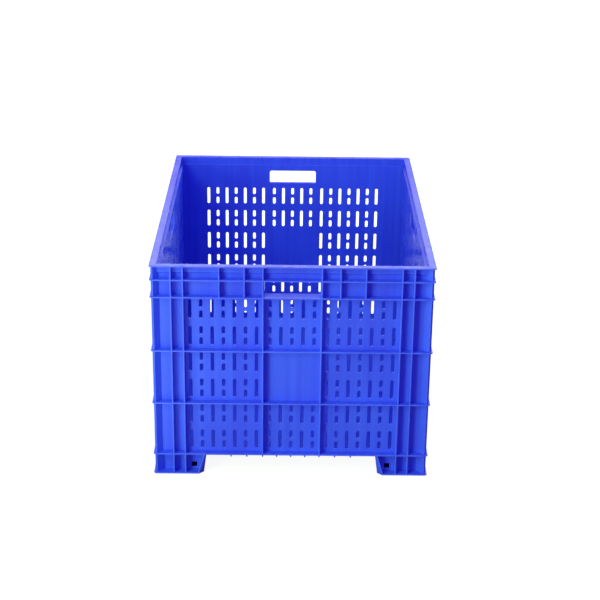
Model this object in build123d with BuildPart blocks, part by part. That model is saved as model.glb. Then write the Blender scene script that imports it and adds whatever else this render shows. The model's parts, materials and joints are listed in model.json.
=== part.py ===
# Vented bulk container: a one-piece plastic crate on four feet, divided along its own lines into the
# rim rails, hand bands, vent panels, corner posts, floor and feet that make it up.
# Millimetres, +Z up, origin on the ground under the middle of the crate. X runs along the end walls,
# Y along the side walls, and the front end wall faces -Y.

import os
from math import ceil, sqrt

from build123d import *

os.makedirs("parts", exist_ok=True)

# Overall size
width = 600.0
length = 800.0
height = 488.0

# Wall, ribs and corners
wall = 3.5
rib = 3.0  # thickness of the upright ribs and of the hoops
rib_depth = 15.5  # from the wall's outer face to the ribs' outer edges
outer_corner = 4.0  # small bevel on the corners of the rim, the hoops and the feet
post_span = 46.0  # from an outer corner along each wall to the end of the corner post
fin = 6.4  # thickness of the diagonal fin on a corner post
fin_setback = 3.0  # from the hoops' outer edges to the fin's outermost edges

# Heights: feet, floor, three equal bays between hoops, the grip bay and the rim bay
foot_height = 47.0
floor_thickness = 4.0
bay_count = 3
grip_bay = 38.7  # from hoop middle to hoop middle
rim_bay = 32.0  # from the grip hoop's middle to the top of the rim

# Rim
rim_flange = 3.0
stack_recess = 17.5  # depth of the stacking step below the rim's top
stack_step = 4.0  # how far the wall sets out above that step
shoulder = 5.0  # height of the slope that sets it out on the outside

# Upright ribs of the walls
second_rib = 24.0  # from a post's end to the next rib's middle
grip_rib = 62.0  # from a wall's middle to the ribs beside its handhold
first_band_rib = 39.0  # from a grip rib outwards to the ribs in an end wall's hand band alone
second_band_rib = 92.0
widest_panel = 200.0  # a wider panel gets another rib

# Handholds
hold_width = 118.0
hold_corner = 3.0  # bevel on its upper corners
sill_rise = 5.0  # the sill climbs this much from its outer edge to the inside

# Vent slots, in columns that alternate between one long slot and two short ones
slot_width = 7.3
column_pitch = 23.6
slot_margin = 7.0  # least wall between a slot and a rib
slot_gap = 17.8  # wall between one row and the next
slot_web = 7.5  # bridge between two short slots

# Floor
floor_rib_depth = 12.0
floor_rib_pitch = 34.6  # outside the line of the grip ribs
outer_floor_ribs = 2  # on each side of that line

# Feet
foot_reach = 115.4  # at the top, from the outer corner inwards
foot_taper = 6.0  # how much less it reaches at the ground
foot_bevel = 3.0  # on the inner corners
sole_bevel = 11.0  # what it grows to at the ground, on the ends of the outer faces
foot_recess = 3.5  # how much deeper a foot's wall lies than the crate's
foot_hole = 12.0  # square
foot_hole_inset = 27.4  # from the foot's inner end to the hole's middle
foot_hole_height = 14.2

# Distances that follow from these
wall_inset = rib_depth + wall  # from the ribs' outer edges to the wall's inner face
ledge_height = height - stack_recess  # top of the stacking step
step_height = ledge_height - wall  # where the shoulder starts outside
step_out = rib_depth - stack_step  # outer face of the wall above the shoulder
step_in = wall_inset - stack_step  # inner face of the wall above the step
grip_hoop = height - rim_bay  # middles of the hoops
band_hoop = grip_hoop - grip_bay
base_hoop = foot_height + rib / 2
bay = (band_hoop - base_hoop) / bay_count
panel_top = band_hoop - rib / 2
hoops = [base_hoop + bay * k for k in range(bay_count)] + [band_hoop, grip_hoop]
row_pitch = bay / 2
long_slot = row_pitch - slot_gap
short_slot = (long_slot - slot_web) / 2
sole_reach = foot_reach - foot_taper
foot_wall = rib_depth + foot_recess  # from the outer edges to the outer face of a foot's wall
foot_inset = foot_wall + wall
hollow_side = sole_reach - wall - foot_inset  # of a foot's square inside
from_corner = (Align.MIN, Align.MIN)
from_bottom = (Align.CENTER, Align.MIN)

# Each wall: its outward direction, its span and its distance from the middle
up = Axis.Z.direction
walls = {
    "front": (-Axis.Y.direction, width, length / 2),
    "right": (Axis.X.direction, length, width / 2),
    "rear": (Axis.Y.direction, width, length / 2),
    "left": (-Axis.X.direction, length, width / 2),
}

# Each corner: the wall that its local Y runs away from and the one that its local X runs away from
corners = {
    "front_left": ("front", "left"),
    "front_right": ("right", "front"),
    "rear_right": ("rear", "right"),
    "rear_left": ("left", "rear"),
}


def wall_plane(name, inset):
    """Upright plane parallel to a wall, at a depth behind its ribs' outer edges, facing outwards."""
    outward, span, reach = walls[name]
    return Plane(outward * (reach - inset), x_dir=up.cross(outward), z_dir=outward)


def section_plane(name):
    """Upright plane across a wall, at its first post: X runs inwards from the outer edges, Y up."""
    outward, span, reach = walls[name]
    along = up.cross(outward)
    return Plane(outward * reach - along * (span / 2 - post_span), x_dir=-outward, z_dir=along)


def corner_plane(name, level):
    """Level plane at an outer corner: X and Y both run inwards along the walls."""
    (out_y, span_y, reach_y), (out_x, span_x, reach_x) = [walls[wall_name] for wall_name in corners[name]]
    return Plane(out_x * reach_x + out_y * reach_y + up * level, x_dir=-out_x, z_dir=up)


def corner_faces(name):
    """A corner's two outer faces: X runs inwards from the outer corner, Y up, with the way into the crate."""
    ground = corner_plane(name, 0)
    along_x = Plane(ground.origin, x_dir=ground.x_dir, z_dir=-ground.y_dir)
    along_y = Plane(ground.origin, x_dir=ground.y_dir, z_dir=ground.x_dir)
    return (along_x, -1), (along_y, 1)


def foot_diagonal(name):
    """Upright plane at a foot's outer corner that faces inwards along the foot's diagonal."""
    ground = corner_plane(name, 0)
    return Plane(ground.origin, x_dir=ground.y_dir - ground.x_dir, z_dir=ground.x_dir + ground.y_dir)


def foot_profile(start, sole_end, top_end):
    """Corners of a foot seen square on to an outer face, from an upright start line to a sloped end."""
    return (start, 0), (sole_end, 0), (top_end, foot_height), (start, foot_height)


def both_sides(places):
    return [sign * place for place in places for sign in (-1, 1)]


def panel_ribs(span):
    """Middles of a wall's full-height ribs on one side of its middle, between the posts."""
    last = span / 2 - post_span - second_rib
    panels = ceil((last - grip_rib) / widest_panel)
    return [grip_rib + (last - grip_rib) * k / panels for k in range(panels + 1)]


def band_ribs(span):
    """Middles of the ribs that a wall's hand band and rim have, on one side of its middle."""
    in_band_alone = [grip_rib + first_band_rib, grip_rib + second_band_rib] if span == width else []
    return panel_ribs(span) + in_band_alone


def slot_places(span, odd):
    """Middles of the slots in a wall's odd or even columns, counted from the middle of each panel between
    two ribs. The middle panel's middle bay is blank."""
    ribs = sorted(both_sides(panel_ribs(span)))
    places = []
    for start, stop in zip(ribs, ribs[1:]):
        middle = (start + stop) / 2
        half_room = (stop - start - rib - slot_width) / 2 - slot_margin
        last = int(half_room // column_pitch)
        columns = [middle + column_pitch * k for k in range(-last, last + 1) if k % 2 == odd]
        for row in range(2 * bay_count):
            blank = row // 2 == bay_count // 2 and abs(middle) < grip_rib
            if not blank:
                places += [(place, base_hoop + row_pitch * (row + 0.5)) for place in columns]
    return places


def post_face(inset):
    """Square of a post's plan from an inset line inwards."""
    with BuildSketch(mode=Mode.PRIVATE) as face:
        with Locations((inset, inset)):
            Rectangle(post_span - inset, post_span - inset, align=from_corner)
    return face.sketch


def hoop_face():
    """Whole square of a post's plan, with the small bevel on its outer corner."""
    with BuildSketch(mode=Mode.PRIVATE) as face:
        add(post_face(0))
        chamfer(face.vertices().sort_by(lambda v: v.X + v.Y)[0], outer_corner)
    return face.sketch


def fin_face(inset):
    """Plan of a post's diagonal fin, out from the corner of a wall whose outer face is at an inset."""
    flank = fin / sqrt(2)  # a flank's step from the diagonal, along either wall
    with BuildSketch(mode=Mode.PRIVATE) as face:
        Polygon(
            (fin_setback, fin_setback + flank),
            (fin_setback + flank, fin_setback),
            (inset + flank, inset),
            (inset, inset),
            (inset, inset + flank),
            align=None,
        )
    return face.sketch


def finish(builder, name):
    builder.part.label = name
    export_step(builder.part, f"parts/{name}.step")


# Rim rails: one section for flange, wall, step and shoulder, with a gusset over each rib below
for name, (outward, span, reach) in walls.items():
    rail_length = span - 2 * post_span
    with BuildPart() as rim_rail:
        with BuildSketch(section_plane(name)):
            with BuildLine():
                Polyline(
                    (0, height),
                    (step_in, height),
                    (step_in, ledge_height),
                    (wall_inset, ledge_height),
                    (wall_inset, step_height),
                    (rib_depth, step_height),
                    (step_out, step_height + shoulder),
                    (step_out, height - rim_flange),
                    (0, height - rim_flange),
                    close=True,
                )
            make_face()
        extrude(amount=rail_length)
        with BuildSketch(wall_plane(name, rib_depth)):
            with Locations([(place, step_height) for place in both_sides(band_ribs(span))]):
                Rectangle(rib, height - rim_flange - step_height, align=from_bottom)
        extrude(amount=rib_depth)
        with BuildSketch(wall_plane(name, wall_inset)):
            with Locations((0, ledge_height)):
                Rectangle(rail_length, stack_recess, align=from_bottom)
        extrude(amount=stack_step, mode=Mode.SUBTRACT)
    finish(rim_rail, f"{name}_rim_rail")

# Hand bands: plain wall between the band hoop and the rim, with the handhold and its sloped sill
for name, (outward, span, reach) in walls.items():
    band_length = span - 2 * post_span
    hold_top = grip_hoop - rib / 2
    with BuildPart() as hand_band:
        with BuildSketch(wall_plane(name, wall_inset)):
            with Locations((0, panel_top)):
                Rectangle(band_length, step_height - panel_top, align=from_bottom)
        extrude(amount=wall)
        with BuildSketch(wall_plane(name, rib_depth)):
            with Locations([(place, panel_top) for place in both_sides(band_ribs(span))]):
                Rectangle(rib, step_height - panel_top, align=from_bottom)
            with Locations((0, band_hoop), (0, grip_hoop)):
                Rectangle(band_length, rib)
        extrude(amount=rib_depth)
        with BuildSketch(wall_plane(name, wall_inset)) as hold:
            with Locations((0, band_hoop)):
                Rectangle(hold_width, hold_top - band_hoop, align=from_bottom)
            chamfer(hold.vertices().group_by(Axis.Y)[-1], hold_corner)
        extrude(amount=wall, mode=Mode.SUBTRACT)
        with BuildSketch(section_plane(name).offset(band_length / 2 - grip_rib)):
            with BuildLine():
                Polyline(
                    (0, band_hoop),
                    (wall_inset, band_hoop),
                    (wall_inset, band_hoop + sill_rise),
                    close=True,
                )
            make_face()
        extrude(amount=2 * grip_rib)
    finish(hand_band, f"{name}_hand_band")

# Vent panels: slotted wall from the floor to the band hoop, with the ribs and hoops that stiffen it.
# The end walls have every slot. The side walls have their long columns alone.
for name, (outward, span, reach) in walls.items():
    panel_length = span - 2 * post_span
    with BuildPart() as vent_panel:
        with BuildSketch(wall_plane(name, wall_inset)):
            with Locations((0, foot_height)):
                Rectangle(panel_length, panel_top - foot_height, align=from_bottom)
            with Locations(slot_places(span, 1)):
                Rectangle(slot_width, long_slot, mode=Mode.SUBTRACT)
            if span == width:
                with Locations(slot_places(span, 0)):
                    with GridLocations(0, short_slot + slot_web, 1, 2):
                        Rectangle(slot_width, short_slot, mode=Mode.SUBTRACT)
        extrude(amount=wall)
        with BuildSketch(wall_plane(name, rib_depth)):
            with Locations([(place, foot_height) for place in both_sides(panel_ribs(span))]):
                Rectangle(rib, panel_top - foot_height, align=from_bottom)
            with Locations([(0, level) for level in hoops[:bay_count]]):
                Rectangle(panel_length, rib)
        extrude(amount=rib_depth)
    finish(vent_panel, f"{name}_vent_panel")

# Corner posts: square corner of the walls up to the rim, with a diagonal fin, the post's two end ribs, and
# the corners of the hoops and of the flange. Two crossing profiles give the outside of the walls.
for name in corners:
    with BuildPart() as corner_post:
        for (face, inwards), mode in zip(corner_faces(name), (Mode.ADD, Mode.INTERSECT)):
            with BuildSketch(face):
                Polygon(
                    (rib_depth, foot_height),
                    (post_span, foot_height),
                    (post_span, height),
                    (step_out, height),
                    (step_out, step_height + shoulder),
                    (rib_depth, step_height),
                    align=None,
                )
            extrude(amount=inwards * post_span, mode=mode)
        with BuildSketch(corner_plane(name, foot_height)):
            add(fin_face(rib_depth))
            with Locations((post_span - rib, 0)):
                Rectangle(rib, rib_depth, align=from_corner)
            with Locations((0, post_span - rib)):
                Rectangle(rib_depth, rib, align=from_corner)
        extrude(amount=height - foot_height)
        for level in hoops:
            with BuildSketch(corner_plane(name, level - rib / 2)):
                add(hoop_face())
            extrude(amount=rib)
        with BuildSketch(corner_plane(name, height - rim_flange)):
            add(hoop_face())
        extrude(amount=rim_flange)
        with BuildSketch(corner_plane(name, foot_height)):
            add(post_face(wall_inset))
        extrude(amount=ledge_height - foot_height, mode=Mode.SUBTRACT)
        with BuildSketch(corner_plane(name, ledge_height)):
            add(post_face(step_in))
        extrude(amount=stack_recess, mode=Mode.SUBTRACT)
    finish(corner_post, f"{name}_corner_post")

# Floor: a deck that fits inside the walls, on ribs that run from end to end and a rib across them
centre_ribs = [0, grip_rib / 2, grip_rib]
outer_ribs = [grip_rib + floor_rib_pitch * (k + 1) for k in range(outer_floor_ribs)]
floor_lines = set(both_sides(centre_ribs + outer_ribs))

with BuildPart() as floor_deck:
    with BuildSketch(Plane.XY.offset(foot_height)):
        Rectangle(width - 2 * wall_inset, length - 2 * wall_inset)
    extrude(amount=floor_thickness)
finish(floor_deck, "floor_deck")

with BuildPart() as floor_ribs:
    with BuildSketch(Plane.XY.offset(foot_height)):
        with Locations([(x, 0) for x in floor_lines]):
            Rectangle(rib, length - 2 * rib_depth)
        Rectangle(width - 2 * rib_depth, rib)
    extrude(amount=-floor_rib_depth)
finish(floor_ribs, "floor_ribs")

# Feet: a tapered shell, open below, with the posts' fin, ribs and cells carried down its two outer faces to
# a sole flange, and a square hole through each of those faces. Three crossing profiles shape it: one square
# on to each outer face, and one along the diagonal that bevels the ends of these faces, most at the sole.
sole_half = (sole_reach - sole_bevel) / sqrt(2)
top_half = (foot_reach - foot_bevel) / sqrt(2)
cell_start = post_span + second_rib + rib / 2
cell_sole_end = sole_reach - sole_bevel - rib
cell_top_end = foot_reach - foot_bevel - rib

for name in corners:
    with BuildPart() as foot:
        for (face, inwards), mode in zip(corner_faces(name), (Mode.ADD, Mode.INTERSECT)):
            with BuildSketch(face):
                Polygon(*foot_profile(0, sole_reach, foot_reach), align=None)
            extrude(amount=inwards * foot_reach, mode=mode)
        with BuildSketch(foot_diagonal(name)):
            Polygon(
                (-sole_half, 0),
                (sole_half, 0),
                (top_half, foot_height),
                (-top_half, foot_height),
                align=None,
            )
        extrude(amount=foot_reach * sqrt(2), mode=Mode.INTERSECT)
        uprights = foot.edges().filter_by(lambda e: e.bounding_box().size.Z > rib)
        uprights = uprights.sort_by_distance(corner_plane(name, 0).origin)
        chamfer(uprights[-1], foot_bevel)
        chamfer(uprights[0], outer_corner)
        with BuildSketch(corner_plane(name, 0)):
            with Locations((foot_inset, foot_inset)):
                Rectangle(hollow_side, hollow_side, align=from_corner)
        extrude(amount=foot_height, mode=Mode.SUBTRACT)
        with BuildSketch(corner_plane(name, rib)):
            Rectangle(post_span - rib, post_span - rib, align=from_corner)
            add(post_face(foot_wall), mode=Mode.SUBTRACT)
            add(fin_face(foot_wall), mode=Mode.SUBTRACT)
        extrude(amount=foot_height - rib, mode=Mode.SUBTRACT)
        for face, inwards in corner_faces(name):
            with BuildSketch(face):
                with Locations((post_span, rib)):
                    Rectangle(second_rib - rib / 2, foot_height - rib, align=from_corner)
                Polygon(*foot_profile(cell_start, cell_sole_end, cell_top_end), align=None)
                with Locations((0, 0)):
                    Rectangle(foot_reach, rib, align=from_corner, mode=Mode.SUBTRACT)
            extrude(amount=inwards * foot_wall, mode=Mode.SUBTRACT)
            with BuildSketch(face):
                with Locations((foot_reach - foot_hole_inset, foot_hole_height)):
                    Rectangle(foot_hole, foot_hole)
            extrude(amount=inwards * foot_inset, mode=Mode.SUBTRACT)
    finish(foot, f"{name}_foot")
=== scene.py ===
# Looks, light and camera for the blue vented crate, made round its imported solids. Metres, Z up.
import json
import math

import bmesh
import bpy
from mathutils import Matrix, Vector

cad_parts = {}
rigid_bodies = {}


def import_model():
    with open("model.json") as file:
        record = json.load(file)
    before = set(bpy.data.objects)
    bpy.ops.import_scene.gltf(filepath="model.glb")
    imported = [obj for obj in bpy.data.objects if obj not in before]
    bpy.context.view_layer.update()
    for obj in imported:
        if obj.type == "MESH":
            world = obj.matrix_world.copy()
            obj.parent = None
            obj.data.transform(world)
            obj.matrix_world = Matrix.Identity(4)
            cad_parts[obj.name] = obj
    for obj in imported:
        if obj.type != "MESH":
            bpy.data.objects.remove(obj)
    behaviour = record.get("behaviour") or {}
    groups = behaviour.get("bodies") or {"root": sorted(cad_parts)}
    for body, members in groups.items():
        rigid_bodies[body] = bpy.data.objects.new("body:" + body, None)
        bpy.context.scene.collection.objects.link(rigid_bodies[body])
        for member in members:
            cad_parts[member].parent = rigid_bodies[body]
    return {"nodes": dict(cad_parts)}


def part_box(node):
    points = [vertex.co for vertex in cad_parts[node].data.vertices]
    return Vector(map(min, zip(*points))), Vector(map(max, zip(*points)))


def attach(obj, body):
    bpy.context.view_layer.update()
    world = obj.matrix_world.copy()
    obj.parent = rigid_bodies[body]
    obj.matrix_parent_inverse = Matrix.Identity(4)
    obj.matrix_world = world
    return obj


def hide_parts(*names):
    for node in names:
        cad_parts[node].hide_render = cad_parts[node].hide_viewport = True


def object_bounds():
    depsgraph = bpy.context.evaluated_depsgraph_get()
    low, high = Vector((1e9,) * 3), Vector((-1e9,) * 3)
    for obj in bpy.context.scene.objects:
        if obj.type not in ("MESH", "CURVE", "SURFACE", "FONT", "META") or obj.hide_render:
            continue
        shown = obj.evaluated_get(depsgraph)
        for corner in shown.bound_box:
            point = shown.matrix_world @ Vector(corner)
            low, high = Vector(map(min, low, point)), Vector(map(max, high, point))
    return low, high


for leftOver in list(bpy.data.objects):
    bpy.data.objects.remove(leftOver)
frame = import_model()
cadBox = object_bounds()
scene = bpy.context.scene
print("frame loaded:", len(frame["nodes"]), "solids")


# Node helpers
def addNode(tree, kind, **values):
    node = tree.nodes.new(kind)
    for name, value in values.items():
        setattr(node, name, value)
    return node


def addMaths(tree, operation, *terms):
    node = addNode(tree, "ShaderNodeMath", operation=operation)
    for socket, term in zip(node.inputs, terms):
        if hasattr(term, "is_output"):
            tree.links.new(term, socket)
        else:
            socket.default_value = term
    return node.outputs["Value"]


def addRange(tree, value, limits, results=(0, 1)):
    node = addNode(tree, "ShaderNodeMapRange")
    ends = ("From Min", "From Max", "To Min", "To Max")
    for name, number in zip(ends, (*limits, *results)):
        node.inputs[name].default_value = number
    tree.links.new(value, node.inputs["Value"])
    return node.outputs["Result"]


def addColourMix(tree, amount, first, second):
    node = addNode(tree, "ShaderNodeMix", data_type="RGBA")
    tree.links.new(amount, node.inputs["Factor"])
    for socket, colour in ((node.inputs["A"], first), (node.inputs["B"], second)):
        if hasattr(colour, "is_output"):
            tree.links.new(colour, socket)
        else:
            socket.default_value = colour
    return node.outputs["Result"]


def emptyTree(owner):
    owner.use_nodes = True
    owner.node_tree.nodes.clear()
    return owner.node_tree


# Moulded plastic
plastic = {
    "deep": (0.063, 0.151, 0.75, 1),
    "pale": (0.069, 0.209, 0.83, 1),
    "paleFrom": (0.38, 0.62),          # noise over which the deep blue turns pale
    "rubbed": (0.15, 0.36, 1.0, 1),    # paler blue on eased edges and outermost faces: handling wear and painted highlight
    "rubAmount": 0.9,                  # patchy, as the clouds are
    "cloudScale": 5.0,                 # soft patches from the filling of the mould
    "cloudDetail": 3,
    "cloudShare": 0.5,                 # against the streaks
    "streakScale": (70.0, 70.0, 1.6),  # upright flow lines
    "fineDetail": 2,                   # of the streaks, the waves and the grain
    "grainScale": 1400.0,
    "grainDepth": 0.00006,
    "grainStrength": 0.35,
    "waveScale": (9.0, 9.0, 2.5),      # gentle unevenness of the mould's walls
    "waveDepth": 0.0012,
    "waveStrength": 1.0,
    "refraction": 1.5,
    "dullFrom": (0.35, 0.65),          # noise over which smooth turns dull
    "smooth": 0.14,
    "dull": 0.27,
    "shine": 0.5,
    "scuffedDull": 0.60,               # the deck is scuffed and mirrors little
    "scuffedShine": 0.12,
}


def makePlastic(name, smooth, dull, shine):
    material = bpy.data.materials.new(name)
    tree = emptyTree(material)
    link = tree.links.new
    place = addNode(tree, "ShaderNodeTexCoord").outputs["Object"]

    def stretched(scale):
        node = addNode(tree, "ShaderNodeMapping")
        node.inputs["Scale"].default_value = scale
        link(place, node.inputs["Vector"])
        return node.outputs["Vector"]

    def noise(where, scale, detail):
        node = addNode(tree, "ShaderNodeTexNoise")
        node.inputs["Scale"].default_value = scale
        node.inputs["Detail"].default_value = detail
        link(where, node.inputs["Vector"])
        return node.outputs["Fac"]

    def bump(height, strength, depth):
        node = addNode(tree, "ShaderNodeBump")
        node.inputs["Strength"].default_value = strength
        node.inputs["Distance"].default_value = depth
        link(height, node.inputs["Height"])
        return node

    cloud = noise(place, plastic["cloudScale"], plastic["cloudDetail"])
    streak = noise(stretched(plastic["streakScale"]), 1, plastic["fineDetail"])
    clouded = addMaths(tree, "MULTIPLY", cloud, plastic["cloudShare"])
    both = addMaths(tree, "MULTIPLY_ADD", streak, 1 - plastic["cloudShare"], clouded)
    colour = addColourMix(tree, addRange(tree, both, plastic["paleFrom"]), plastic["deep"], plastic["pale"])
    # painted highlight and handling wear: eased edges and outermost faces turn patchily paler blue
    edge = addNode(tree, "ShaderNodeAttribute", attribute_name="edgeRub").outputs["Fac"]
    rub = addMaths(tree, "MULTIPLY", addMaths(tree, "MULTIPLY", edge, cloud), plastic["rubAmount"])
    wornAndHighlitColour = addColourMix(tree, rub, colour, plastic["rubbed"])

    grain = noise(place, plastic["grainScale"], plastic["fineDetail"])
    grained = bump(grain, plastic["grainStrength"], plastic["grainDepth"])
    wave = noise(stretched(plastic["waveScale"]), 1, plastic["fineDetail"])
    uneven = bump(wave, plastic["waveStrength"], plastic["waveDepth"])
    link(grained.outputs["Normal"], uneven.inputs["Normal"])

    out = addNode(tree, "ShaderNodeOutputMaterial")
    shader = addNode(tree, "ShaderNodeBsdfPrincipled")
    shader.inputs["IOR"].default_value = plastic["refraction"]
    shader.inputs["Specular IOR Level"].default_value = shine
    link(wornAndHighlitColour, shader.inputs["Base Color"])
    link(addRange(tree, streak, plastic["dullFrom"], (smooth, dull)), shader.inputs["Roughness"])
    link(uneven.outputs["Normal"], shader.inputs["Normal"])
    link(shader.outputs["BSDF"], out.inputs["Surface"])
    return material


bluePlastic = makePlastic("bluePlastic", plastic["smooth"], plastic["dull"], plastic["shine"])
scuffedPlastic = makePlastic(
    "scuffedPlastic", plastic["dull"], plastic["scuffedDull"], plastic["scuffedShine"])
print("plastic mixed")


# Mesh helpers
meshFit = {"decimals": 5, "merge": 2e-6}  # so that neighbours meet exactly


def objectFrom(name, data):
    thing = bpy.data.objects.new(name, data)
    scene.collection.objects.link(thing)
    return thing


def evaluatedMesh(thing):
    return bpy.data.meshes.new_from_object(thing.evaluated_get(bpy.context.evaluated_depsgraph_get()))


def combine(base, tool, operation):
    step = base.modifiers.new("combine", "BOOLEAN")
    step.operation = operation
    step.solver = "MANIFOLD"
    step.object = tool
    mesh = evaluatedMesh(base)
    base.modifiers.remove(step)
    base.data = mesh


def rounded(spot):
    return [round(c, meshFit["decimals"]) for c in spot]


def solidCopy(node):
    mesh = frame["nodes"][node].data.copy()
    mesh.materials.clear()
    mesh.materials.append(bluePlastic)
    form = bmesh.new()
    form.from_mesh(mesh)
    for vert in form.verts:
        vert.co = rounded(vert.co)
    bmesh.ops.remove_doubles(form, verts=form.verts, dist=meshFit["merge"])
    form.to_mesh(mesh)
    form.free()
    bakedNormals = mesh.attributes.get("custom_normal")
    if bakedNormals:
        mesh.attributes.remove(bakedNormals)
    return objectFrom("solid." + node, mesh)


def boxBetween(name, low, high):
    form = bmesh.new()
    size = Vector(high) - Vector(low)
    middle = (Vector(high) + Vector(low)) / 2
    bmesh.ops.create_cube(form, size=1, matrix=Matrix.Translation(middle) @ Matrix.Diagonal((*size, 1)))
    mesh = bpy.data.meshes.new(name)
    form.to_mesh(mesh)
    form.free()
    mesh.materials.append(bluePlastic)
    return objectFrom(name, mesh)


# Vent slots: rows and columns of round-ended slots, one long slot or two short ones by turns
ventSlots = {
    "width": 0.0073,
    "columnPitch": 0.0236,
    "rowGap": 0.0178,
    "bridge": 0.0075,
    "margin": 0.007,
    "gripRib": 0.062,      # ribs beside the handhold, from a wall's middle
    "lastRib": 0.024,      # from the end of a wall to its last rib
    "baysUp": 3,
    "endSteps": 3,         # corners of a slot's round ends
    "endRadius": 0.49,     # share of the width, just short of a half circle
    "flare": 0.0005,       # softened mouth, inside and out
    "merge": 1e-6,
}
wallSizes = {"wall": 0.0035, "ribDepth": 0.0155, "rib": 0.003}


def slotTree():
    tree = bpy.data.node_groups.new("ventPatch", "GeometryNodeTree")
    tree.interface.new_socket("Geometry", in_out="OUTPUT", socket_type="NodeSocketGeometry")
    sockets = {}
    for name, kind in (("Columns", "Int"), ("Rows", "Int"), ("Column Pitch", "Float"),
                       ("Row Pitch", "Float"), ("Slot Width", "Float"), ("Long Slot", "Float"),
                       ("Short Slot", "Float"), ("Bridge", "Float"), ("Wall", "Float"), ("Flare", "Float"),
                       ("End Steps", "Int"), ("Turn", "Vector"), ("Place", "Vector"),
                       ("Material", "Material")):
        socket = tree.interface.new_socket(name, in_out="INPUT", socket_type="NodeSocket" + kind)
        sockets[name] = socket.identifier
    link = tree.links.new
    given = addNode(tree, "NodeGroupInput").outputs
    out = addNode(tree, "NodeGroupOutput")

    def maths(operation, *terms):
        return addMaths(tree, operation, *terms)

    def position():
        apart = addNode(tree, "ShaderNodeSeparateXYZ")
        link(addNode(tree, "GeometryNodeInputPosition").outputs["Position"], apart.inputs["Vector"])
        return apart.outputs

    def extruded(mesh, height, selection=None):
        node = addNode(tree, "GeometryNodeExtrudeMesh", mode="FACES")
        link(mesh, node.inputs["Mesh"])
        link(height, node.inputs["Offset Scale"])
        if selection is not None:
            link(selection, node.inputs["Selection"])
        return node.outputs

    def prism(length):
        outline = addNode(tree, "GeometryNodeCurvePrimitiveQuadrilateral")
        link(given["Slot Width"], outline.inputs["Width"])
        link(length, outline.inputs["Height"])
        ends = addNode(tree, "GeometryNodeFilletCurve", mode="POLY")
        link(outline.outputs["Curve"], ends.inputs["Curve"])
        link(given["End Steps"], ends.inputs["Count"])
        link(maths("MULTIPLY", given["Slot Width"], ventSlots["endRadius"]), ends.inputs["Radius"])
        face = addNode(tree, "GeometryNodeFillCurve", mode="NGONS")
        link(ends.outputs["Curve"], face.inputs["Curve"])
        halfWall = maths("MULTIPLY", given["Wall"], 0.5)
        straight = extruded(face.outputs["Mesh"], maths("SUBTRACT", halfWall, given["Flare"]))
        mouth = extruded(straight["Mesh"], maths("MULTIPLY", given["Flare"], 2.0), straight["Top"])

        at = position()  # the mouth opens at 45 degrees, away from the slot's middle line
        halfRun = maths("MULTIPLY", maths("SUBTRACT", length, given["Slot Width"]), 0.5)
        above = maths("MAXIMUM", at["Y"], maths("MULTIPLY", halfRun, -1.0))
        nearest = maths("MINIMUM", above, halfRun)
        widen = maths("DIVIDE", maths("MULTIPLY", given["Flare"], 4.0), given["Slot Width"])
        outwards = addNode(tree, "ShaderNodeCombineXYZ")
        link(maths("MULTIPLY", at["X"], widen), outwards.inputs["X"])
        link(maths("MULTIPLY", maths("SUBTRACT", at["Y"], nearest), widen), outwards.inputs["Y"])
        flared = addNode(tree, "GeometryNodeSetPosition")
        link(mouth["Mesh"], flared.inputs["Geometry"])
        link(mouth["Top"], flared.inputs["Selection"])
        link(outwards.outputs["Vector"], flared.inputs["Offset"])

        mirrored = addNode(tree, "GeometryNodeTransform")  # the other half of the wall's thickness
        mirrored.inputs["Scale"].default_value = (1, 1, -1)
        link(flared.outputs["Geometry"], mirrored.inputs["Geometry"])
        turned = addNode(tree, "GeometryNodeFlipFaces")
        link(mirrored.outputs["Geometry"], turned.inputs["Mesh"])
        joined = addNode(tree, "GeometryNodeJoinGeometry")
        link(flared.outputs["Geometry"], joined.inputs["Geometry"])
        link(turned.outputs["Mesh"], joined.inputs["Geometry"])
        merged = addNode(tree, "GeometryNodeMergeByDistance")
        merged.inputs["Distance"].default_value = ventSlots["merge"]
        link(joined.outputs["Geometry"], merged.inputs["Geometry"])
        return merged.outputs["Geometry"]

    def moved(geometry, up):
        shift = addNode(tree, "GeometryNodeTransform")
        offset = addNode(tree, "ShaderNodeCombineXYZ")
        link(up, offset.inputs["Y"])
        link(geometry, shift.inputs["Geometry"])
        link(offset.outputs["Vector"], shift.inputs["Translation"])
        return shift.outputs["Geometry"]

    grid = addNode(tree, "GeometryNodeMeshGrid")
    for count, pitch, axis in (("Columns", "Column Pitch", "X"), ("Rows", "Row Pitch", "Y")):
        span = maths("MULTIPLY", given[pitch], maths("SUBTRACT", given[count], 1))
        link(span, grid.inputs["Size " + axis])
        link(given[count], grid.inputs["Vertices " + axis])
    column = maths("ROUND", maths("DIVIDE", position()["X"], given["Column Pitch"]))
    isLong = maths("MODULO", maths("ABSOLUTE", column), 2.0)  # odd columns from a panel's middle
    isShort = maths("SUBTRACT", 1.0, isLong)

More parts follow.
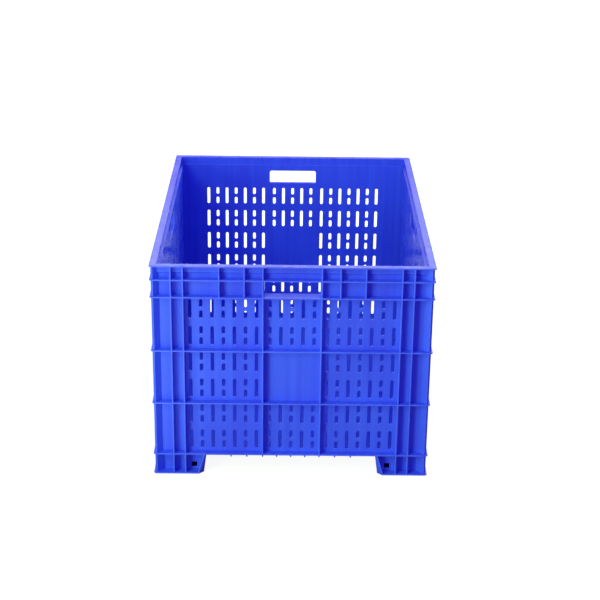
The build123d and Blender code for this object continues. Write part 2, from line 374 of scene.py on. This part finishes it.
    shortSlot = prism(given["Short Slot"])
    rise = maths("DIVIDE", maths("ADD", given["Short Slot"], given["Bridge"]), 2.0)
    pair = addNode(tree, "GeometryNodeJoinGeometry")
    link(moved(shortSlot, rise), pair.inputs["Geometry"])
    link(moved(shortSlot, maths("MULTIPLY", rise, -1.0)), pair.inputs["Geometry"])
    everySlot = addNode(tree, "GeometryNodeJoinGeometry")
    for chosen, shape in ((isLong, prism(given["Long Slot"])), (isShort, pair.outputs["Geometry"])):
        spread = addNode(tree, "GeometryNodeInstanceOnPoints")
        link(grid.outputs["Mesh"], spread.inputs["Points"])
        link(chosen, spread.inputs["Selection"])
        link(shape, spread.inputs["Instance"])
        link(spread.outputs["Instances"], everySlot.inputs["Geometry"])
    upright = addNode(tree, "GeometryNodeTransform")
    link(everySlot.outputs["Geometry"], upright.inputs["Geometry"])
    link(given["Turn"], upright.inputs["Rotation"])
    link(given["Place"], upright.inputs["Translation"])
    real = addNode(tree, "GeometryNodeRealizeInstances")
    link(upright.outputs["Geometry"], real.inputs["Geometry"])
    coloured = addNode(tree, "GeometryNodeSetMaterial")
    link(real.outputs["Geometry"], coloured.inputs["Geometry"])
    link(given["Material"], coloured.inputs["Material"])
    link(coloured.outputs["Geometry"], out.inputs["Geometry"])
    return tree, sockets


ventPatch, ventSockets = slotTree()
frontLow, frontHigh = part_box("front_vent_panel")
bay = (frontHigh.z - frontLow.z) / ventSlots["baysUp"]  # from hoop to hoop
longSlot = bay / 2 - ventSlots["rowGap"]


def slotPatch(columns, rows, turn, place):
    maker = objectFrom("slotMaker", bpy.data.meshes.new("slotMaker"))
    nodes = maker.modifiers.new("ventPatch", "NODES")
    nodes.node_group = ventPatch
    for name, value in (
        ("Columns", columns),
        ("Rows", rows),
        ("Column Pitch", ventSlots["columnPitch"]),
        ("Row Pitch", bay / 2),
        ("Slot Width", ventSlots["width"]),
        ("Long Slot", longSlot),
        ("Short Slot", (longSlot - ventSlots["bridge"]) / 2),
        ("Bridge", ventSlots["bridge"]),
        ("Wall", wallSizes["wall"]),
        ("Flare", ventSlots["flare"]),
        ("End Steps", ventSlots["endSteps"]),
        ("Turn", (math.pi / 2, 0, turn)),
        ("Place", place),
        ("Material", bluePlastic),
    ):
        nodes[ventSockets[name]] = value
    mesh = evaluatedMesh(maker)
    bpy.data.objects.remove(maker)
    return mesh


# Each wall: its turn about Z from facing -Y, and its panels on each side of the handhold's
walls = {"front": (0, 1), "right": (math.pi / 2, 2), "rear": (math.pi, 1), "left": (-math.pi / 2, 2)}


def wallSlots(name):
    turn, panelsBeside = walls[name]
    low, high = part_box(name + "_vent_panel")
    along = Vector((math.cos(turn), math.sin(turn), 0))
    outward = Vector((math.sin(turn), -math.cos(turn), 0))
    middle = (low + high) / 2
    span = abs((high - low).dot(along))
    face = abs(middle.dot(outward)) + abs((high - low).dot(outward)) / 2  # out to the ribs' edges
    start = outward * (face - wallSizes["ribDepth"] - wallSizes["wall"] / 2)
    firstRib = ventSlots["gripRib"]
    lastRib = span / 2 - ventSlots["lastRib"]
    ribs = [firstRib + (lastRib - firstRib) * k / panelsBeside for k in range(panelsBeside + 1)]
    edges = [-x for x in reversed(ribs)] + ribs
    base = low.z + wallSizes["rib"] / 2
    form = bmesh.new()
    for left, right in zip(edges, edges[1:]):
        room = (right - left - wallSizes["rib"] - ventSlots["width"]) / 2 - ventSlots["margin"]
        columns = 2 * int(room // ventSlots["columnPitch"]) + 1
        centre = (left + right) / 2
        if abs(centre) < firstRib:  # the bay under the handhold is blank halfway up
            levels = (0.5, ventSlots["baysUp"] - 0.5)
            rows = 2
        else:
            levels = (ventSlots["baysUp"] / 2,)
            rows = 2 * ventSlots["baysUp"]
        for level in levels:
            place = start + along * centre + Vector((0, 0, base + bay * level))
            patch = slotPatch(columns, rows, turn, place)
            form.from_mesh(patch)
            bpy.data.meshes.remove(patch)
    mesh = bpy.data.meshes.new("slots." + name)
    form.to_mesh(mesh)
    form.free()
    mesh.materials.append(bluePlastic)
    return objectFrom("slots." + name, mesh)


# The whole moulding in one closed mesh: solids joined, vent panels filled in plain for now
floorFit = (1.0053, 1.0039)  # the deck runs a little into the walls


def joinSolids():
    crate = None
    for node in sorted(frame["nodes"]):
        solid = solidCopy(node)
        if node == "floor_deck":
            for vert in solid.data.vertices:
                vert.co.x *= floorFit[0]
                vert.co.y *= floorFit[1]
        if crate is None:
            crate = solid
            continue
        combine(crate, solid, "UNION")
        bpy.data.objects.remove(solid)
    for name in walls:
        turn = walls[name][0]
        low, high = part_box(name + "_vent_panel")
        outward = Vector((round(math.sin(turn)), -round(math.cos(turn)), 0))
        for axis in (0, 1):
            if outward[axis] > 0:
                high[axis] -= wallSizes["ribDepth"]
            if outward[axis] < 0:
                low[axis] += wallSizes["ribDepth"]
        plate = boxBetween("plate." + name, rounded(low), rounded(high))
        combine(crate, plate, "UNION")
        bpy.data.objects.remove(plate)
    print("solids joined:", len(crate.data.polygons), "faces")
    return crate


# Edges eased all round, as they leave the mould
edgeRound = {
    "radius": 0.0006,
    "steps": 2,
    "profile": 0.5,
    "sharpest": math.radians(35),   # a corner past this is eased
    "level": math.radians(0.5),     # faces this close to one plane become one
    "folded": math.radians(179),
    "speck": 3e-5,                  # shorter edges close up first
    "outermost": 0.001,             # this near the crate's sides, faces turn paler: wear from rubbing against their neighbours and painted highlight
    "rub": 0.65,
}


def isFolded(edge):  # side of a slit with no width, left where solids met
    return edge.is_manifold and edge.calc_face_angle() > edgeRound["folded"]


def isCorner(edge):
    return edge.is_manifold and edge.is_convex and edge.calc_face_angle() > edgeRound["sharpest"]


def roundEdges(crate):
    form = bmesh.new()
    form.from_mesh(crate.data)
    bmesh.ops.dissolve_degenerate(form, edges=form.edges, dist=edgeRound["speck"])
    bmesh.ops.dissolve_limit(form, angle_limit=edgeRound["level"], verts=form.verts, edges=form.edges)
    bmesh.ops.dissolve_edges(form, edges=[e for e in form.edges if isFolded(e)], use_verts=True)
    pockets = [f for f in form.faces if all(isFolded(e) for e in f.edges)]
    bmesh.ops.delete(form, geom=pockets, context="FACES")
    # faces that turn paler: worn eased edges and outermost faces, partly painted highlight
    rub = form.faces.layers.float.new("edgeRub")
    made = bmesh.ops.bevel(form, geom=[e for e in form.edges if isCorner(e)], affect="EDGES",
                           offset=edgeRound["radius"], offset_type="OFFSET", segments=edgeRound["steps"],
                           profile=edgeRound["profile"], clamp_overlap=False)
    low, high = cadBox
    for face in form.faces:
        middle = face.calc_center_median()
        gap = min(middle.x - low[0], high[0] - middle.x, middle.y - low[1], high[1] - middle.y)
        if gap < edgeRound["outermost"]:
            face[rub] = edgeRound["rub"]
    for face in made["faces"]:
        face[rub] = 1
    bmesh.ops.triangulate(form, faces=form.faces)
    openEdges = sum(1 for e in form.edges if not e.is_manifold)
    form.to_mesh(crate.data)
    form.free()
    print("edges rounded:", len(crate.data.polygons), "triangles,", openEdges, "open edges")


def cutSlots(crate):
    for name in walls:
        slots = wallSlots(name)
        combine(crate, slots, "DIFFERENCE")
        bpy.data.objects.remove(slots)
    print("slots cut:", len(crate.data.polygons), "triangles")


# One piece for each member, parted along the members' own boxes; the floor is what remains
parting = {"shift": 0.00005, "smoothUpTo": math.radians(20)}


def pieceName(node):
    first, *others = node.split("_")
    return first + "".join(word.capitalize() for word in others)


def finishPiece(piece, *nodes):
    for face in piece.data.polygons:
        face.use_smooth = True
    piece.data.set_sharp_from_angle(angle=parting["smoothUpTo"])
    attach(piece, "root")
    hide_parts(*nodes)


def partPiece(crate, node):
    low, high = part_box(node)
    shift = Vector((parting["shift"],) * 3)
    tool = boxBetween("parting", low - shift, high + shift)
    piece = objectFrom(pieceName(node), crate.data.copy())
    combine(piece, tool, "INTERSECT")
    combine(crate, tool, "DIFFERENCE")
    bpy.data.objects.remove(tool)
    finishPiece(piece, node)


crate = joinSolids()
roundEdges(crate)
cutSlots(crate)
for ending in ("_post", "_rim_rail", "_hand_band", "_vent_panel", "_foot"):
    for node in sorted(frame["nodes"]):
        if node.endswith(ending):
            partPiece(crate, node)
crate.name = "floor"
crate.data.materials.clear()
crate.data.materials.append(scuffedPlastic)
finishPiece(crate, "floor_deck", "floor_ribs")
print("pieces parted")


# Pale floor and white surroundings
stage = {
    "floorSize": 14.0,
    "floorLevel": -0.0003,
    "floorWhite": 0.30,                   # what lights the crate from below
    "shownWhite": (0.25, 0.42, 0.14, 1),  # takes the shadow that the camera sees
    "glow": (0.92, 1.0),                  # lifts it to white, most away from the crate
    "glowReach": (0.6, 1.6),
    "footShade": (0.08, 0.08, 0.4, 1),    # painted shade: a dark blue sheet on the floor inside the hollow feet
    "footInside": (0.0084, 0.020),        # its edges, from a foot's inner and outer sides
    "shadeLevel": -0.0001,
    "ambient": (0.24, 0.04, 0.82, 1),
    "skyFade": (1.3, 0.6),                # ambient strength from the horizon to overhead
    "paperFrom": (0.42, 0.8),             # the crate mirrors white floor this far behind its middle
    "skyFrom": (0.295, 0.318),            # and white sky above this height
}


def shownRays(tree, space, axis, limits):
    path = addNode(tree, "ShaderNodeLightPath")
    apart = addNode(tree, "ShaderNodeSeparateXYZ")
    tree.links.new(addNode(tree, "ShaderNodeTexCoord").outputs[space], apart.inputs["Vector"])
    beyond = addRange(tree, apart.outputs[axis], limits)
    mirrored = addMaths(tree, "MULTIPLY", beyond, path.outputs["Is Glossy Ray"])
    return addMaths(tree, "MAXIMUM", path.outputs["Is Camera Ray"], mirrored)


def mixShaders(tree, amount, first, second):
    mix = addNode(tree, "ShaderNodeMixShader")
    tree.links.new(amount, mix.inputs["Fac"])
    tree.links.new(first, mix.inputs[1])
    tree.links.new(second, mix.inputs[2])
    return mix.outputs["Shader"]


def makePaleFloor():
    material = bpy.data.materials.new("paleFloor")
    tree = emptyTree(material)
    link = tree.links.new
    real = addNode(tree, "ShaderNodeBsdfDiffuse")
    real.inputs["Color"].default_value = (stage["floorWhite"],) * 3 + (1,)
    shown = addNode(tree, "ShaderNodeBsdfDiffuse")
    shown.inputs["Color"].default_value = stage["shownWhite"]
    away = addNode(tree, "ShaderNodeVectorMath", operation="LENGTH")
    link(addNode(tree, "ShaderNodeTexCoord").outputs["Object"], away.inputs[0])
    glow = addNode(tree, "ShaderNodeEmission")
    link(addRange(tree, away.outputs["Value"], stage["glowReach"], stage["glow"]), glow.inputs["Strength"])
    lifted = addNode(tree, "ShaderNodeAddShader")
    link(shown.outputs["BSDF"], lifted.inputs[0])
    link(glow.outputs["Emission"], lifted.inputs[1])
    rays = shownRays(tree, "Object", "Y", stage["paperFrom"])
    surface = mixShaders(tree, rays, real.outputs["BSDF"], lifted.outputs["Shader"])
    link(surface, addNode(tree, "ShaderNodeOutputMaterial").inputs["Surface"])
    return material


def makeFootShade():
    material = bpy.data.materials.new("footShade")
    material.use_nodes = True
    shader = material.node_tree.nodes["Principled BSDF"]
    shader.inputs["Base Color"].default_value = stage["footShade"]
    return material


def addSheet(form, xEnds, yEnds, level):
    (x0, x1), (y0, y1) = xEnds, yEnds
    spots = ((x0, y0), (x1, y0), (x1, y1), (x0, y1))
    return form.faces.new([form.verts.new((x, y, level)) for x, y in spots])


def makeFloor():
    half = stage["floorSize"] / 2
    form = bmesh.new()
    addSheet(form, (-half, half), (-half, half), stage["floorLevel"])
    # a sheet of painted shade over the floor inside each hollow foot
    fromInner, fromOuter = stage["footInside"]
    for node in frame["nodes"]:
        if node.endswith("_foot"):
            ends = []
            for axis in (0, 1):
                inner, outer = sorted((corner[axis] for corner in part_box(node)), key=abs)
                outward = math.copysign(1, outer)
                ends.append((inner + outward * fromInner, outer - outward * fromOuter))
            patch = addSheet(form, *ends, stage["shadeLevel"])
            patch.material_index = 1
    mesh = bpy.data.meshes.new("stageFloor")
    form.to_mesh(mesh)
    form.free()
    mesh.materials.append(makePaleFloor())
    mesh.materials.append(makeFootShade())
    floor = objectFrom("stageFloor", mesh)


def makeWorld():
    scene.world = bpy.data.worlds.new("whiteRoom")
    tree = emptyTree(scene.world)
    link = tree.links.new
    height = addNode(tree, "ShaderNodeSeparateXYZ")
    link(addNode(tree, "ShaderNodeTexCoord").outputs["Generated"], height.inputs["Vector"])
    light = addNode(tree, "ShaderNodeBackground")
    light.inputs["Color"].default_value = stage["ambient"]
    link(addRange(tree, height.outputs["Z"], (0, 1), stage["skyFade"]), light.inputs["Strength"])
    white = addNode(tree, "ShaderNodeBackground")
    white.inputs["Color"].default_value = (1, 1, 1, 1)
    white.inputs["Strength"].default_value = 1
    rays = shownRays(tree, "Generated", "Z", stage["skyFrom"])
    surface = mixShaders(tree, rays, light.outputs["Background"], white.outputs["Background"])
    link(surface, addNode(tree, "ShaderNodeOutputWorld").inputs["Surface"])


# Two soft boxes at the front left, low and high, light off the paper there, a faint box overhead, one
# behind on the right for the other sides, and a strip behind that the rim mirrors
lamps = {
    "keyBox": {"side": 41.0, "rise": 8.0, "distance": 4.0, "wide": 1.0, "tall": 1.6, "power": 58.0},
    "highBox": {"side": 41.0, "rise": 40.0, "distance": 4.0, "wide": 1.45, "tall": 1.45, "power": 38.0,
                "mirrored": False},
    "paperBox": {"lies": (-1.0, -1.15, 0.01), "wide": 1.5, "tall": 1.3, "power": 10.0, "mirrored": False},
    "topBox": {"side": 0.0, "rise": 90.0, "distance": 2.0, "wide": 1.6, "tall": 1.6, "power": 1.5},
    "rearBox": {"side": 208.0, "rise": 25.0, "distance": 2.6, "wide": 1.2, "tall": 1.0, "power": 29.0,
                "mirrored": False},
    "backBox": {"side": 180.0, "rise": 24.0, "distance": 4.6, "wide": 3.0, "tall": 0.8, "power": 8.5},
}
lampAim = Vector((0, -0.3, 0.25))


def makeLamp(name, box):
    data = bpy.data.lights.new(name, "AREA")
    data.shape = "RECTANGLE"
    data.size = box["wide"]
    data.size_y = box["tall"]
    data.energy = box["power"]
    lamp = objectFrom(name, data)
    lamp.visible_camera = False  # stays out of the way of the other views
    lamp.visible_glossy = box.get("mirrored", True)
    if "lies" in box:  # lies on the floor and shines upwards
        lamp.location = box["lies"]
        lamp.rotation_euler = (math.pi, 0, 0)
        return
    side = math.radians(box["side"])
    rise = math.radians(box["rise"])
    away = Vector((-math.sin(side) * math.cos(rise), -math.cos(side) * math.cos(rise), math.sin(rise)))
    lamp.location = lampAim + away * box["distance"]
    lamp.rotation_euler = away.to_track_quat("Z", "Y").to_euler()


# Camera as the picture was taken
camera = {"place": (-0.00998895, -3.27184017, 1.58866116), "lens": 88.882, "sensor": 36, "farthest": 100,
          "down": 22.22399, "right": 0.513569, "roll": 0.760241}


def makeCamera():
    data = bpy.data.cameras.new("camera")
    data.lens = camera["lens"]
    data.sensor_width = camera["sensor"]
    data.clip_end = camera["farthest"]
    eye = objectFrom("camera", data)
    eye.matrix_world = (
        Matrix.Translation(camera["place"])
        @ Matrix.Rotation(-math.radians(camera["right"]), 4, "Z")
        @ Matrix.Rotation(math.pi / 2 - math.radians(camera["down"]), 4, "X")
        @ Matrix.Rotation(math.radians(camera["roll"]), 4, "Z")
    )
    scene.camera = eye


makeFloor()
makeWorld()
for name, box in lamps.items():
    makeLamp(name, box)
makeCamera()
scene.view_settings.view_transform = "Standard"
print("stage, light and camera set")
